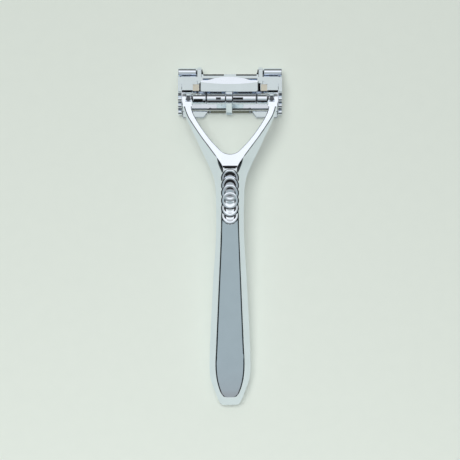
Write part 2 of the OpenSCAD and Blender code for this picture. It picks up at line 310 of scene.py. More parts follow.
def chrome(name, tint, roughness, metal=1.0):
    """Polished plating: faint casting waviness, fine wiping marks and a little cloudiness."""
    material, tree, shader = new_material(name)
    nodes, links = tree.nodes, tree.links
    shader.inputs["Metallic"].default_value = metal
    where = nodes.new("ShaderNodeTexCoord").outputs["Object"]

    cloud = nodes.new("ShaderNodeTexNoise")
    cloud.inputs["Scale"].default_value = 160.0
    cloud.inputs["Detail"].default_value = 4.0
    links.new(where, cloud.inputs["Vector"])
    colour = nodes.new("ShaderNodeValToRGB")
    colour.color_ramp.elements[0].position = 0.3
    colour.color_ramp.elements[0].color = (*[c * 0.965 for c in tint], 1)
    colour.color_ramp.elements[1].position = 0.7
    colour.color_ramp.elements[1].color = (*tint, 1)
    links.new(cloud.outputs["Fac"], colour.inputs["Fac"])
    links.new(colour.outputs["Color"], shader.inputs["Base Color"])

    stretch = nodes.new("ShaderNodeMapping")
    stretch.inputs["Scale"].default_value = (1.0, 0.08, 1.0)
    links.new(where, stretch.inputs["Vector"])
    marks = nodes.new("ShaderNodeTexNoise")
    marks.inputs["Scale"].default_value = 5200.0
    marks.inputs["Detail"].default_value = 3.0
    links.new(stretch.outputs["Vector"], marks.inputs["Vector"])
    rough = nodes.new("ShaderNodeMapRange")
    rough.inputs["From Min"].default_value = 0.35
    rough.inputs["From Max"].default_value = 0.75
    rough.inputs["To Min"].default_value = roughness
    rough.inputs["To Max"].default_value = roughness + 0.06
    links.new(marks.outputs["Fac"], rough.inputs["Value"])
    links.new(rough.outputs["Result"], shader.inputs["Roughness"])

    waves = nodes.new("ShaderNodeTexNoise")
    waves.inputs["Scale"].default_value = 210.0
    waves.inputs["Detail"].default_value = 1.0
    links.new(where, waves.inputs["Vector"])
    bump = nodes.new("ShaderNodeBump")
    bump.inputs["Strength"].default_value = 0.012
    bump.inputs["Distance"].default_value = 0.0005
    links.new(waves.outputs["Fac"], bump.inputs["Height"])
    fine = nodes.new("ShaderNodeBump")
    fine.inputs["Strength"].default_value = 0.02
    fine.inputs["Distance"].default_value = 0.00002
    links.new(marks.outputs["Fac"], fine.inputs["Height"])
    links.new(bump.outputs["Normal"], fine.inputs["Normal"])
    links.new(fine.outputs["Normal"], shader.inputs["Normal"])
    return material


POLISHED = chrome("polished_chrome", (0.86, 0.92, 1.0), 0.03)
PIN_STEEL = chrome("pin_steel", (0.11, 0.115, 0.125), 0.16)
DARK_STEEL = chrome("dark_steel", (0.16, 0.17, 0.19), 0.28)
BLADE_STEEL = chrome("blade_steel", (0.70, 0.72, 0.75), 0.16)
SPRING_STEEL = chrome("spring_steel", (0.14, 0.145, 0.155), 0.2)
NICKEL = chrome("magnet_nickel", (0.60, 0.60, 0.57), 0.25)
SATIN = chrome("satin_recess", (0.62, 0.59, 0.50), 0.5, metal=0.25)
# Near-black plating for grooves, slits and ground edges: painted shade and painted dark reflection where
# those places fall in shade.
PAINTED_GAP_SHADE = chrome("painted_gap_shade", (0.03, 0.03, 0.035), 0.35)
# Dark brownish plating for the catch bar: painted shade, darkening the bar for the dark underside it
# reflects.
CATCH_PAINTED_SHADE = chrome("catch_painted_shade", (0.20, 0.205, 0.165), 0.22)
MATERIALS = {
    "polished_chrome": POLISHED, "pin_steel": PIN_STEEL, "dark_steel": DARK_STEEL,
    "blade_steel": BLADE_STEEL, "spring_steel": SPRING_STEEL, "magnet_nickel": NICKEL,
}
for row in frame["record"]["subparts"]:
    cad = bpy.data.objects[row["node"]]
    cad.data.materials.clear()
    cad.data.materials.append(MATERIALS[row["material_slot"]])


# ---- Handle ----

# Height of the middle of the section and its thickness, as (y, value)
HEIGHT = [(-72.65, 3.65), (-30, 8.35), (18, 13.5), (27, 14.2), (34, 13.85), (46, 12.5), (PIVOT_Y, PIVOT_Z)]
THICK = [
    (-72.65, 7.1), (-66, 8.4), (-50, 9), (0, 8.4), (28, 8), (36, 7.3), (46, 6.2), (53, 5.4), (PIVOT_Y, 5.2),
]
# Half widths of the silhouette and of the flat face, as (y, x)
BUTT_START = -57
SILHOUETTE = [
    (BUTT_START, 8.78), (-53.8, 8.8), (-39.6, 8.27), (-18.6, 7.16), (0.2, 6), (15.6, 6), (24.6, 6.8),
    (31, 9.35), (36, 11.8), (42.8, 15), (48, 17.5), (53.3, 19.6), (PIVOT_Y, 20.4),
]
FACE = [
    (BUTT_START, 5.93), (-53.8, 5.96), (-39.6, 5.27), (-18.6, 4.37), (0.6, 3.64), (15, 3.3), (26, 3),
    (30.1, 3.3), (36.9, 8.06), (42.8, 12.4), (48, 15.9), (51.5, 18), (55.5, 19.4), (PIVOT_Y, 19.9),
]
# Round the butt: plan of the silhouette and of the flat face, as matching (x, y) points
BUTT_OUT = [
    (8.78, BUTT_START), (8.62, -59.4), (8.1, -62), (7.1, -64.9), (6.05, -67.7), (5, -70.4), (3.6, -72.4),
    (0, BUTT_Y),
]
BUTT_FACE = [
    (5.93, BUTT_START), (5.75, -59), (5.42, -61.4), (4.85, -63.9), (4.1, -66.2), (3.25, -68), (2.1, -68.85),
    (0, -69),
]
# Width of the hollow between the face and the bevel, where the fork leaves the grip
FLANK = [(22, 0), (26.2, 0.05), (28.4, 0.8), (30, 1.2), (31.2, 1.0), (32.6, 0.4), (34, 0), (40, 0)]
FLANK_DROP = 0.55
BEVEL_SLOPE = 1.22
EDGE_SOFT, FORK_SOFT = 0.62, 0.42
# Shares of the thickness that the bevels may take above and below
TOP_SHARE, UNDER_SHARE = 0.66, 0.3
CORNER_STEPS = 5


def top_z(y):
    return curve(HEIGHT, y) + thickness(y) / 2


def base_z(y):
    return curve(HEIGHT, y) - thickness(y) / 2


def thickness(y):
    return curve(THICK, y)


def along(points, t):
    """Point at t from 0 to 1 on a smooth curve through points."""
    s = t * (len(points) - 1)
    return tuple(curve([(k, p[c]) for k, p in enumerate(points)], s) for c in (0, 1))


def lean(y):
    """How far the outline runs sideways for each step along the handle."""
    return (curve(SILHOUETTE, y + 0.5) - curve(SILHOUETTE, y - 0.5)) if y > BUTT_START + 1 else 0


def eased(line, offsets):
    """Replaces the inner corners of a 3-D line by small curves that start at offsets from each corner."""
    points = [Vector(p) for p in line]
    out = [points[0]]
    for before, here, after, offset in zip(points, points[1:], points[2:], offsets):
        back, ahead = before - here, after - here
        a = here + back.normalized() * min(offset, 0.45 * back.length)
        b = here + ahead.normalized() * min(offset, 0.45 * ahead.length)
        for k in range(CORNER_STEPS + 1):
            t = k / CORNER_STEPS
            out.append(a * (1 - t) ** 2 + here * 2 * t * (1 - t) + b * t * t)
    return out + [points[-1]]


def handle_ring(outer, face):
    """Closed section through the silhouette point and the face point on each side."""
    (ox, oy), (fx, fy) = outer, face
    t = thickness(oy)
    hollow = max(curve(FLANK, oy), 0) if FLANK[0][0] < oy < FLANK[-1][0] else 0
    mx = min(fx + hollow, ox - 0.5)
    run = math.hypot(ox - mx, oy - fy) / math.hypot(1, lean(oy))
    inner = FLANK_DROP * (mx - fx)
    drop = min(inner + BEVEL_SLOPE * run, TOP_SHARE * t)
    under = min(drop, UNDER_SHARE * t)
    line = [
        (0, fy, top_z(fy)), (fx, fy, top_z(fy)), (mx, fy, top_z(fy) - inner), (ox, oy, top_z(oy) - drop),
        (ox, oy, base_z(oy) + under), (fx, fy, base_z(fy)), (0, fy, base_z(fy)),
    ]
    soft = EDGE_SOFT if oy < 30 else FORK_SOFT
    if hollow == 0:
        del line[2]
        right = eased(line, [soft, 0.3, 0.3, 0.6])
        # As many points as a ring with the hollow, so that the rings match
        extra = CORNER_STEPS + 1
        right[1 + extra:1 + extra] = [right[extra]] * extra
    else:
        right = eased(line, [0.08, soft, 0.3, 0.3, 0.6])
    left = [Vector((-p.x, p.y, p.z)) for p in reversed(right[1:-1])]
    return [tuple(p) for p in right + left]


def handle_skin():
    rings = [handle_ring(along(BUTT_OUT, t), along(BUTT_FACE, t)) for t in spaced(1, 0, -1 / 40)[:-1]]
    for y in spaced(BUTT_START, PIVOT_Y, 0.9):
        rings.append(handle_ring((curve(SILHOUETTE, y), y), (curve(FACE, y), y)))
    return stack(rings)


def opening_plan():
    """Space between the arms: a round end and slightly bowed sides, from the middle to the right tip."""
    start, r = 35.1, 6
    bow = [(37.1, 4.47), (41, 8.1), (46.2, 12), (51.1, 15), (54.6, 16.35), (57.5, 16.4), (64, 16.3)]
    side = [(start + r - math.sqrt(r * r - x * x), x) for x in spaced(0, bow[0][1], 0.3)][:-1]
    side += [(y, curve(bow, y)) for y in spaced(bow[0][0], bow[-1][0], 0.9)]
    return [Vector((x, y)) for y, x in side]


def opening(soft=0.34):
    """Cutter for the opening, flared so that its edges come out rounded on both faces."""
    plan = opening_plan()
    outward = []
    for i, p in enumerate(plan):
        ahead = plan[min(i + 1, len(plan) - 1)] - plan[max(i - 1, 0)]
        outward.append(Vector((ahead.y, -ahead.x)).normalized() if i else Vector((0, -1)))
    turn = [math.radians(a) for a in (12, 30, 50, 70, 90)]
    # How far each level stands outside the plan and how far it lies below the face
    flare = [(soft + 0.6, -6)] + [(soft * (1 - math.sin(a)), soft * (1 - math.cos(a))) for a in turn]
    levels = [(grow, depth, -1) for grow, depth in flare]
    levels += [(grow, depth, 1) for grow, depth in reversed(flare)]
    rings = []
    for grow, depth, side in levels:
        half = []
        for p, n in zip(plan, outward):
            q = p + grow * n
            face = top_z(p.y) if side > 0 else base_z(p.y)
            half.append((q.x, q.y, face - side * depth))
        rings.append(half + [(-x, y, z) for x, y, z in reversed(half[1:])])
    return stack(rings)


def arm_tip():
    """Rounded tip round the axle, drawn in plan and cut to a round nose."""
    x0, x1, r = 16.3, 20.4, 2.6
    plan = [(x0, 55.5), (x1 - 0.35, 55.5), (x1, 58.5)] + disc(x1 - 1.6, 60, 1.6, 0, 90, 10)
    plan += disc(x0 + 1.3, 60.3, 1.3, 90, 180, 10)
    tip = upright(plan, 4, 18)
    nose = [(55, top_z(55))] + disc(PIVOT_Y, PIVOT_Z, r, 90, -90, 32) + [(55, base_z(55))]
    return round_edges(combine(tip, [across(nose, x0 - 1, x1 + 1)], "INTERSECT"), 0.3, hollow=False)


def boss(x_in, x_arm, r=2.25):
    """Round boss on the inside of an arm tip, with a fillet where it meets the arm."""
    way = 1 if x_arm > x_in else -1
    fillet = [(x_arm - way * 0.9 * (1 - math.sin(a)), r + 0.55 * (1 - math.cos(a)))
              for a in (math.pi / 2 * k / 8 for k in range(9))]
    profile = [(x_in, r - 0.22), (x_in + way * 0.22, r)] + fillet + [(x_arm + way * 0.6, r + 0.3)]
    return lathe(profile, PIVOT_Y, PIVOT_Z)


RINGS, PITCH, FIRST = 6, 3.17, 9.3
GRIP_TILT = math.radians(5.4)
RING_R, BEAD_R, BEAD_H, BOWL = 2.98, 1.08, 0.82, 1.6
# Slope of each ring, from the butt side: the outer ones lie over their neighbours
RING_TILTS = [-0.15, -0.09, -0.02, 0.06, 0.12, 0.16]
# Depth of the bowl in each ring, and how deep the rings sit in the neck
RING_SINKS = [0.38, 0.36, 0.3, 0.3, 0.4, 0.48]
RING_DEPTH = -1.06
GROOVE_X, GROOVE_Y = 2.45, (28.9, 29.5)
SCREW_X = 17.8


def grip_place(side):
    """Puts a part drawn on the XY plane on the back of the neck, or under it."""
    y = FIRST + PITCH * (RINGS - 1) / 2
    flip = Matrix.Identity(4) if side > 0 else Matrix.Scale(-1, 4, (0, 0, 1))
    middle = Matrix.Translation((0, y, curve(HEIGHT, y))) @ Matrix.Rotation(GRIP_TILT, 4, "X")
    return middle @ flip @ Matrix.Translation((0, 0, thickness(y) / 2))


def scale(y, tilt, sink):
    """One ring of the grip, filled by a shallow bowl and tilted to overlap its neighbour like a scale."""
    arc = [math.radians(a) for a in range(-60, 91, 10)]
    outer = [(RING_R + BEAD_R * math.cos(b), BEAD_H * math.sin(b)) for b in arc]
    inner = [
        (RING_R - BOWL * k / 10, BEAD_H - sink * (1 - math.cos(math.pi * k / 10)) / 2)
        for k in range(1, 11)
    ]
    rings = []
    for r, z in outer + inner + [(0.8, BEAD_H - sink), (0.3, BEAD_H - sink)]:
        rings.append([(r * math.cos(a), y + r * math.sin(a), RING_DEPTH + z + tilt * r * math.sin(a))
                      for a in (2 * math.pi * k / ROUND for k in range(ROUND))])
    return stack(rings)


def ring_places():
    return [PITCH * (i - (RINGS - 1) / 2) for i in range(RINGS)]


def moved(obj, matrix):
    obj.data.transform(matrix)
    return faced_out(obj)


def yoke_handle():
    body = minus(handle_skin(), [opening()])
    body = union([body] + both([arm_tip()]) + [boss(-10.3, -16.3), boss(11.6, 16.3)])
    # Set screw recesses, the axle's bore and the spring's pocket with its slot
    arch = upright([(16.6, 57.4), (19, 57.4)] + disc(SCREW_X, 59.7, 1.2, 0, 180, 16), 11.5, 18)
    side_view = disc(PIVOT_Y, PIVOT_Z, 1.95, 130, 45, 10) + [(61.5, 12.38), (61.5, 18), (57, 18)]
    recess = combine(arch, [across(side_view, 15, 21)], "INTERSECT")
    cuts = both([recess, post(SCREW_X, PIVOT_Y, PIVOT_Z, 13.6, 1.0)])
    cuts += [rod(-25, 25, PIVOT_Y, PIVOT_Z, 1.01, 48), rod(-16.1, -9, PIVOT_Y, PIVOT_Z, 1.85)]
    slot = disc(-15.2, PIVOT_Y - 0.55, 0.4, 90, 270, 8) + disc(-12, PIVOT_Y - 0.55, 0.4, -90, 90, 8)
    cuts += [upright(slot, PIVOT_Z, 18)]
    cuts += [box(-14.6, -14.1, 60.3, 61.5, 12, 14), box(-12.9, -12.3, 60.4, 61.5, 12, 14)]
    cuts += [post(-11, 57.5, 11, 18, 0.34, 24)]
    # Groove where the fork's flat face meets the grip
    cuts += [box(-GROOVE_X, GROOVE_X, *GROOVE_Y, top_z(29) - 1.3, 22)]
    body = tidy_faces(minus(body, cuts), 0.3)
    for side in (1, -1):
        place = grip_place(side)
        beds = [
            moved(post(0, 0, -1.5, 3, RING_R + 0.8), Matrix.Translation((0, y, 0)))
            for y in ring_places()
        ]
        body = minus(body, [moved(union(beds), place)])
        rows = zip(ring_places(), RING_TILTS, RING_SINKS)
        body = union([body] + [moved(scale(y, tilt, sink), place) for y, tilt, sink in rows])
    piece = finish(body, "polished_yoke_handle", "handle", "polished_chrome", ["yoke_handle"])
    # The groove faces at the top of the neck get the near-black material: painted shade in the groove.
    piece.data.materials.append(PAINTED_GAP_SHADE)
    for face in piece.data.polygons:
        x, y, z = face.center / MM
        in_groove = GROOVE_Y[0] - 0.05 < y < GROOVE_Y[1] + 0.05 and abs(x) < GROOVE_X + 0.05
        if in_groove and z > 12:
            face.material_index = 1
    return piece


# ---- Blades, their louvres and their clamping wedges ----

EDGE_Z, EDGE_PITCH, LEAN = 0.1, 2.8, math.radians(40)
EDGE_HALF, TAB_HALF, TAB_S = 18.65, 21.5, 4.5
BLADE_W, BLADE_T = 11, 0.1
EAR_X = (12.2, 14.1)
CHEEK_IN, RAIL_OUT = 20.8, 20.6
LOUVRE_T = 0.85
PLATE_Z, PLATE_TOP, BLOCK_TOP = 7.7, 8.6, 9.4
BLADES = (1, 2, 3)
MAGNET_X, MAGNET_S = (-12, 12), 7.4
CATCH_Y = (53.3, 54.2)
RIVET_X, RIVET_Y = 8.6, 53.75


def edge_y(k):
    return PIVOT_Y - 4.1 + EDGE_PITCH * (k - 1)


def on_blade(k, s, t):
    """Place s behind the edge of blade k and t above its skin side, as (y, z)."""
    return (
        edge_y(k) + s * math.cos(LEAN) - t * math.sin(LEAN), EDGE_Z + s * math.sin(LEAN) + t * math.cos(LEAN),
    )


def slab(k, s0, s1, t0, t1, half):
    corners = [(s0, t0), (s1, t0), (s1, t1), (s0, t1)]
    return across([on_blade(k, s, t) for s, t in corners], -half, half)


def leaned(obj, k):
    """Lays a part drawn flat, with its edge at Y 0, on the place of blade k."""
    return moved(obj, Matrix.Translation((0, edge_y(k), EDGE_Z)) @ Matrix.Rotation(LEAN, 4, "X"))


def blade(k):
    """Half of a double-edge blade: honed edge, narrower tabs and half of the locating slot."""
    honed = [
        (0, 0.04), (0.35, 0.022), (1.1, 0), (5.5, 0), (5.5, BLADE_T), (1.1, BLADE_T), (0.35, 0.078),
        (0, 0.06),
    ]
    plan = [
        (-TAB_HALF, TAB_S + 0.3), (-TAB_HALF + 0.3, TAB_S), (TAB_HALF - 0.3, TAB_S),
        (TAB_HALF, TAB_S + 0.3), (TAB_HALF, BLADE_W), (-TAB_HALF, BLADE_W),
    ]
    body = union([across(honed, -EDGE_HALF, EDGE_HALF), upright(plan, 0, BLADE_T)])
    cuts = [box(-16.8, 16.8, BLADE_W - 0.6, BLADE_W + 1, -1, 1)]
    cuts += [post(x, BLADE_W, -1, 1, 2.2) for x in (-13.2, 0, 13.2)]
    body = leaned(tidy_faces(minus(body, cuts)), k)
    return finish(body, f"honed_blade_{k}", "head", "blade_steel", [f"blade_{k}"])


def seat_magnet(k, x):
    profile = [(1.1, 0.02), (1.24, 0.12), (1.24, 0.48), (1.1, 0.6)]
    return leaned(turned([(r, BLADE_T + z) for r, z in profile], x, MAGNET_S), k)


# ---- Tray: the back half of the head ----

def cheek():
    top = BLOCK_TOP - 0.3
    plan = [(52.4, 0.7), (66.6, 0.7), (68.4, 2.6), (68.4, top), (62.2, top), (61.3, 7.5), (53.4, 2.6)]
    comb = union([across(plan, CHEEK_IN, HALF_W)] + [
        rod(CHEEK_IN, HALF_W, edge_y(k) - 1.2, 0.75 + 1.85 * k, 1.2, 48) for k in BLADES
    ])
    comb = round_edges(tidy_faces(comb), 0.26, hollow=False)
    outward = Matrix.Translation((CHEEK_IN - 0.1, 0, 0))
    return minus(comb, [moved(slab(k, -4, BLADE_W + 0.2, -0.12, 0.15, 0.9), outward) for k in BLADES])


def end_block():
    plan = [
        (16.3, 61.9), (20.6, 61.9), (20.6, 65.4), (HALF_W, 65.4), (HALF_W, 68.4), (EAR_X[0], 68.4),
        (EAR_X[0], 65.4), (16.3, 65.4),
    ]
    block = upright(plan, PLATE_Z - 0.3, BLOCK_TOP)
    block = round_edges(minus(block, [post(EAR_X[1] - 0.9, 64.2, 0, 20, 2.6)]), 0.38, hollow=False)
    # Ground edge towards the arm tip
    front = [(62.75, BLOCK_TOP + 0.02), (61.8, BLOCK_TOP - 0.55), (61.8, 11)]
    return minus(block, [across(front, 16.2, 20.7)])


def ear():
    tab = [
        (72.6, HINGE_Z), (72.6, 7.6), (71.6, 8.8), (65.4, 8.8), (65.4, 7.9), (68.9, PLATE_Z), (68.9, 6.2),
        (69.6, HINGE_Z),
    ]
    shape = union([across(tab, *EAR_X), rod(*EAR_X, HINGE_Y, HINGE_Z, 2)])
    return round_edges(tidy_faces(shape), 0.3, hollow=False)


def gusset():
    """Slanted rib in the corner between the back plate and the ear."""
    corners = [(12.3, 69.2, 8.45), (12.3, 71.9, 8.45), (11.15, 69.2, 7.95)]
    return stack([[(x, y, 7.2) for x, y, z in corners], corners])


def web(x0):
    return across([(57.4, 9.6), (60.7, 9.9), (63, PLATE_TOP), (63.6, PLATE_Z), (60.2, 5.7)], x0, x0 + 1.5)


def back_plate():
    plan = [
        (-16.5, 62.2), (16.5, 62.2), (16.5, 68.4), (EAR_X[1], 68.4), (EAR_X[1], 69.6), (-EAR_X[1], 69.6),
        (-EAR_X[1], 68.4), (-16.5, 68.4),
    ]
    plate = upright(plan, PLATE_Z, PLATE_TOP)
    # Rinse windows above the channels between the blades
    windows = [box(x, x + 10, edge_y(k) + 8.7, edge_y(k) + 10.2, 5, 10) for x in (-11.6, 1.6) for k in (1, 2)]
    plate = round_edges(minus(plate, windows), 0.14, hollow=False)
    # Ground rear corner, left whole in the middle, and ground front edge beside the thumb bar
    corner = [(68.95, PLATE_TOP + 0.02), (69.75, PLATE_TOP - 0.72), (69.75, 10)]
    front = [(62.75, PLATE_TOP + 0.02), (62.1, PLATE_TOP - 0.36), (62.1, 10)]
    return minus(plate, both([across(corner, 2.6, 11.4), across(front, 11, 16.25)]))


def barrel(x0, x1, r=2.35, corner=0.2):
    profile = [
        (x0, r - corner), (x0 + 0.06, r - 0.06), (x0 + corner, r), (x1 - corner, r), (x1 - 0.06, r - 0.06),
        (x1, r - corner),
    ]
    return lathe(profile, PIVOT_Y, PIVOT_Z)


def tray():
    parts = [slab(k, 1.4, 10.9, 0.1, 0.1 + LOUVRE_T, EDGE_HALF) for k in BLADES]
    parts += [slab(k, 4.6, 10.9, 0.1, 0.1 + LOUVRE_T, CHEEK_IN + 0.2) for k in BLADES]
    parts += [back_plate()] + both([cheek(), end_block(), ear(), gusset()])
    parts += [web(x) for x in (-9.9, -3.6, 1.4, 9.5)]
    parts += [barrel(-9.9, -2), barrel(1.2, 11.1)]
    body = union(parts)
    cuts = [rod(-12, 12, PIVOT_Y, PIVOT_Z, 1.05, 48), rod(0.2, 6.2, PIVOT_Y, PIVOT_Z, 1.85)]
    cuts += [box(-6, -3.9, 58.4, 59.4, 11.5, 15), box(1, 5.6, 58.4, 59.4, 11.5, 15)]
    cuts += both([rod(EAR_X[0] - 1, EAR_X[1] + 1, HINGE_Y, HINGE_Z, 0.7, 48)])
    cuts += [leaned(post(x, MAGNET_S, 0, 0.72, 1.27), k) for x in MAGNET_X for k in BLADES]
    # Sunk squares beside the thumb bar, and the slits at its ends
    cuts += both([box(13.3, 15.95, 62.5, 65.3, 8.35, 12)])
    cuts += [box(-13.2, -12.72, 62.5, 65.8, 7, 12), box(12.02, 13.05, 62.5, 65.8, 7, 12)]
    body = tidy_faces(minus(body, cuts), 0.3)
    piece = finish(body, "blade_tray_casting", "head", "polished_chrome", ["blade_tray"])
    piece.data.materials.append(SATIN)
    piece.data.materials.append(PAINTED_GAP_SHADE)
    # Recess floors get the satin material. The slits at the thumb bar's ends and the ground front edges of
    # the block and plate get the near-black material: painted shade and painted dark reflection.
    for face in piece.data.polygons:
        x, y, z = face.center / MM
        in_slit = 12 <= abs(x) <= 13.25 and 62.4 < y < 65.9 and 6.9 < z < 8.58
        if 13.2 < abs(x) < 16 and 62.4 < y < 65.4 and abs(z - 8.35) < 0.05:
            face.material_index = 1
        elif in_slit or (61.7 < y < 62.8 and -0.6 < face.normal.y < -0.45 and face.normal.z > 0.8):
            face.material_index = 2
    return piece


# ---- Cap: the front half of the head ----

def under_blade(d):
    return EDGE_Z + d * math.tan(LEAN) - 0.08 / math.cos(LEAN)


def wedge(k):
    section = [
        (0.45, 0.12), (0.5, under_blade(0.5)), (1.95, under_blade(1.95)), (2.2, 0.4), (2.2, 0.12),
        (2.05, 0), (0.57, 0),
    ]
    return across([(edge_y(k) + d, z) for d, z in section], -RAIL_OUT, RAIL_OUT)


def top_bar():
    section = [
        (0.45, 0.12), (0.5, under_blade(0.5)), (7.2, under_blade(7.2)), (8.4, 6), (9.2, 4.6), (9.2, 0.6),
        (9.02, 0.18), (8.6, 0), (0.57, 0),
    ]
    return across([(edge_y(3) + d, z) for d, z in section], -RAIL_OUT, RAIL_OUT)


def knuckle():
    x0, x1, r = EAR_X[1] + 0.2, HALF_W, 1.85
    profile = [
        (x0, r - 0.5), (x0 + 0.1, r - 0.2), (x0 + 0.4, r), (x1 - 0.3, r), (x1 - 0.08, r - 0.1),
        (x1, r - 0.3),
    ]
    roll = lathe(profile, HINGE_Y, HINGE_Z)
    root = [(HINGE_Y, HINGE_Z - r), (HINGE_Y, HINGE_Z), (69.3, HINGE_Z + 0.6), (68, 4), (69, 1.2)]
    return union([roll, across(root, x0, RAIL_OUT)])


def guard_end():
    plan = [(9.6, CATCH_Y[0]), (11, 51.5), (11.4, 51.2), (RAIL_OUT, 51.2)]
    plan += [(RAIL_OUT, CATCH_Y[1]), (9.6, CATCH_Y[1])]
    end = round_edges(upright(plan, 0, 2.2), 1.0, hollow=False, segments=6)
    rail = box(CHEEK_IN - 1.85, RAIL_OUT, 51.5, edge_y(3) + 1.5, 0, 1.9)
    return [end, round_edges(rail, 0.2)]


def cap():
    parts = [wedge(1), wedge(2), top_bar()] + both(guard_end() + [knuckle()])
    parts += [box(-9.7, 9.7, *CATCH_Y, 0, 1)]
    body = union(parts)
    cuts = both([
        rod(EAR_X[0] - 0.2, EAR_X[1] + 0.2, HINGE_Y, HINGE_Z, 2.3),
        rod(11.4, EAR_X[1], HINGE_Y, HINGE_Z, 1.6),
        rod(EAR_X[1], HALF_W + 1, HINGE_Y, HINGE_Z, 0.75, 48),
        post(RIVET_X, RIVET_Y, 0.3, 3, 0.35),
    ])
    # Shallow flutes that stretch the skin in front of the first edge
    flutes = [box(x - 0.22, x + 0.22, 50, 53.2, -1, 0.22) for x in spaced(11.9, 20.1, 0.9)]
    body = tidy_faces(minus(body, cuts + both(flutes)), 0.3)
    return finish(body, "clamping_cap_frame", "cap", "polished_chrome", ["cap_frame"])


def catch_bar():
    half, low, high = 9.55, 1, 2.1
    ends = [
        (-half, low), (half, low), (half, high - 0.5), (half - 0.55, high), (-half + 0.55, high),
        (-half, high - 0.5),
    ]
    bar = stack([[(x, y, z) for x, z in ends] for y in CATCH_Y])
    bar = round_edges(bar, 0.16, angle=20)
    bar = minus(bar, both([post(RIVET_X, RIVET_Y, 0, 3, 0.35)]))
    piece = finish(bar, "catch_bar_strip", "cap", "polished_chrome", ["catch_bar"])
    # Painted shade: the catch bar takes the dark brownish plating in place of its polished chrome.
    piece.data.materials[0] = CATCH_PAINTED_SHADE
    return piece


def rivets():
    profile = [(0.34, 0.32), (0.34, 1.98), (0.42, 2.0), (0.42, 2.12), (0.36, 2.28), (0.22, 2.37), (0.06, 2.4)]
    pair = union(both([turned(profile, RIVET_X, RIVET_Y)]))
    piece = finish(pair, "domed_catch_rivets", "cap", "pin_steel", ["catch_rivets"])
    piece.data.materials[0] = POLISHED
    return piece


# ---- Latch ----

BAR_X = (-12.7, 12.0)
BAR_Z = (10, 11.6)
SCOOP_SLOPE = math.tan(math.radians(14))


def scoop_line(x):
    """Front edge of the lens-shaped thumb scoop."""
    return 65.25 + 0.85 * ((x + 0.35) / 12.3) ** 2


def thumb_bar():
    mid, r, crest = -0.35, 27.8, 68.4
    left, right = BAR_X
    places = spaced(right - 0.5, left + 1, -1)
    rear = [(x, max(66.9, crest - r + math.sqrt(r * r - (x - mid) ** 2))) for x in places]
    plan = [(left + 0.6, 61.9), (right - 0.6, 61.9), (right - 0.15, 62.15), (right, 62.7), (right, 66.4)]
    plan += rear + [(left, 66.4), (left, 62.7), (left + 0.15, 62.15)]
    bar = upright(plan, *BAR_Z)
    bar = round_edges(bar, 0.3, hollow=False, segments=8)
    sections = []
    for x in spaced(left - 0.5, right + 0.5, 0.8):
        y = scoop_line(x)
        low = BAR_Z[1] - (70 - y) * SCOOP_SLOPE
        sections.append([(x, y, BAR_Z[1]), (x, 70, low), (x, 70, 14), (x, y, 14)])
    return minus(bar, [stack(sections)])


def latch():
    hub = barrel(-1.8, 1, 2.3, 0.15)
    tongue = [
        (56.8, 11), (58, 9), (54.9, 3.6), (54.9, 2.45), (53.1, 2.45), (53.1, 0.9), (52.5, 0.9), (52.5, 2.9),
        (53.4, 3.8),
    ]
    arm = [(PIVOT_Y, 9.6), (63.4, 9.6), (63.4, 11.2), (PIVOT_Y, 11.2)]
    parts = [thumb_bar(), hub]
    parts += [round_edges(across(tongue, -1.7, 0.9), 0.18, hollow=False, segments=8)]
    parts += [across(arm, -1.7, 0.9)]
    body = minus(union(parts), [rod(-5, 5, PIVOT_Y, PIVOT_Z, 1.05, 48)])
    body = tidy_faces(body, 0.3)
    return finish(body, "thumb_latch", "latch", "polished_chrome", ["latch_lever"], smooth=12)


# ---- Small parts ----

def wire(points, r, sides=14):
    """Round wire through points, with its ends closed."""
    turn = [2 * math.pi * k / sides for k in range(sides)]
    rings = []
    for i, p in enumerate(points):
        ahead = (points[min(i + 1, len(points) - 1)] - points[max(i - 1, 0)]).normalized()
        flat = ahead.cross(Vector((1, 0.02, 0.03))).normalized()
        other = ahead.cross(flat)
        rings.append([p + r * (math.cos(b) * flat + math.sin(b) * other) for b in turn])
    return stack([[tuple(q) for q in ring] for ring in rings])


def spring(x0, x1, name, body, node, coil_r=1.5, wire_r=0.19, turns=9):
    low, high = x0 + wire_r, x1 - wire_r
    steps = 40
    points = []
    for i in range(turns * steps + 1):
        a = 2 * math.pi * i / steps
        x = low + (high - low) * i / (turns * steps)
        points.append(Vector((x, PIVOT_Y + coil_r * math.sin(a), PIVOT_Z + coil_r * math.cos(a))))
    return finish(wire(points, wire_r), name, body, "spring_steel", [node], smooth=50)


def set_screws():
    profile = [(0.9, 12.0), (0.98, 12.1), (0.98, 12.9), (0.86, 13.06), (0.62, 13.1)]
    screw = turned(profile, SCREW_X, PIVOT_Y)
    socket = upright([(SCREW_X + x, PIVOT_Y + y) for x, y in disc(0, 0, 0.56, 0, 300, 5)], 12.35, 14)
    pair = union(both([minus(screw, [socket])]))
    return finish(pair, "hex_set_screws", "handle", "dark_steel", ["arm_set_screws"])


def ring_loop(x0, x1, r_in, r_out, corner=0.07):
    return [
        (x0 + corner, r_in), (x1 - corner, r_in), (x1, r_in + corner), (x1, r_out - corner),
        (x1 - corner, r_out), (x0 + corner, r_out), (x0, r_out - corner), (x0, r_in + corner),
    ]


def pin(x0, x1, y, z, r, corner=0.15):
    profile = [
        (x0, r - 2 * corner), (x0 + 0.3 * corner, r - corner), (x0 + corner, r), (x1 - corner, r),
        (x1 - 0.3 * corner, r - corner), (x1, r - 2 * corner),
    ]
    return lathe(profile, y, z, 64)


